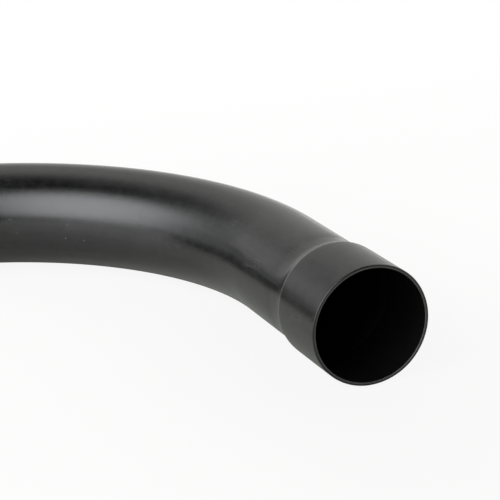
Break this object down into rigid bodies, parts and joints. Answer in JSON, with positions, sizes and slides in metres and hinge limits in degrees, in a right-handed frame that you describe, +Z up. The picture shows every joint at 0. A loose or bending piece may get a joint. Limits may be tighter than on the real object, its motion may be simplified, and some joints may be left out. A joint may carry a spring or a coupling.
{
  "type": "conduit elbow",
  "caption": "Long-radius swept elbow in black PVC duct, with a belled socket at one end and a plain chamfered spigot at the other, to turn a run of cable duct through a right angle.",
  "frame": {"origin": "centre of the socket's mouth", "axes": "-Y points out of the socket's mouth along its axis; +Z is up, square to the plane of the bend, with the elbow lying flat; the spigot leaves towards -X"},
  "size_m": [0.5837, 0.581, 0.1174],
  "materials": {
    "black_pvc": "satin black unplasticised PVC, as extruded"
  },
  "bodies": {
    "root": {"bell_socket": "black_pvc", "socket_leg": "black_pvc", "swept_bend": "black_pvc", "spigot_leg": "black_pvc"}
  },
  "joints": []
}
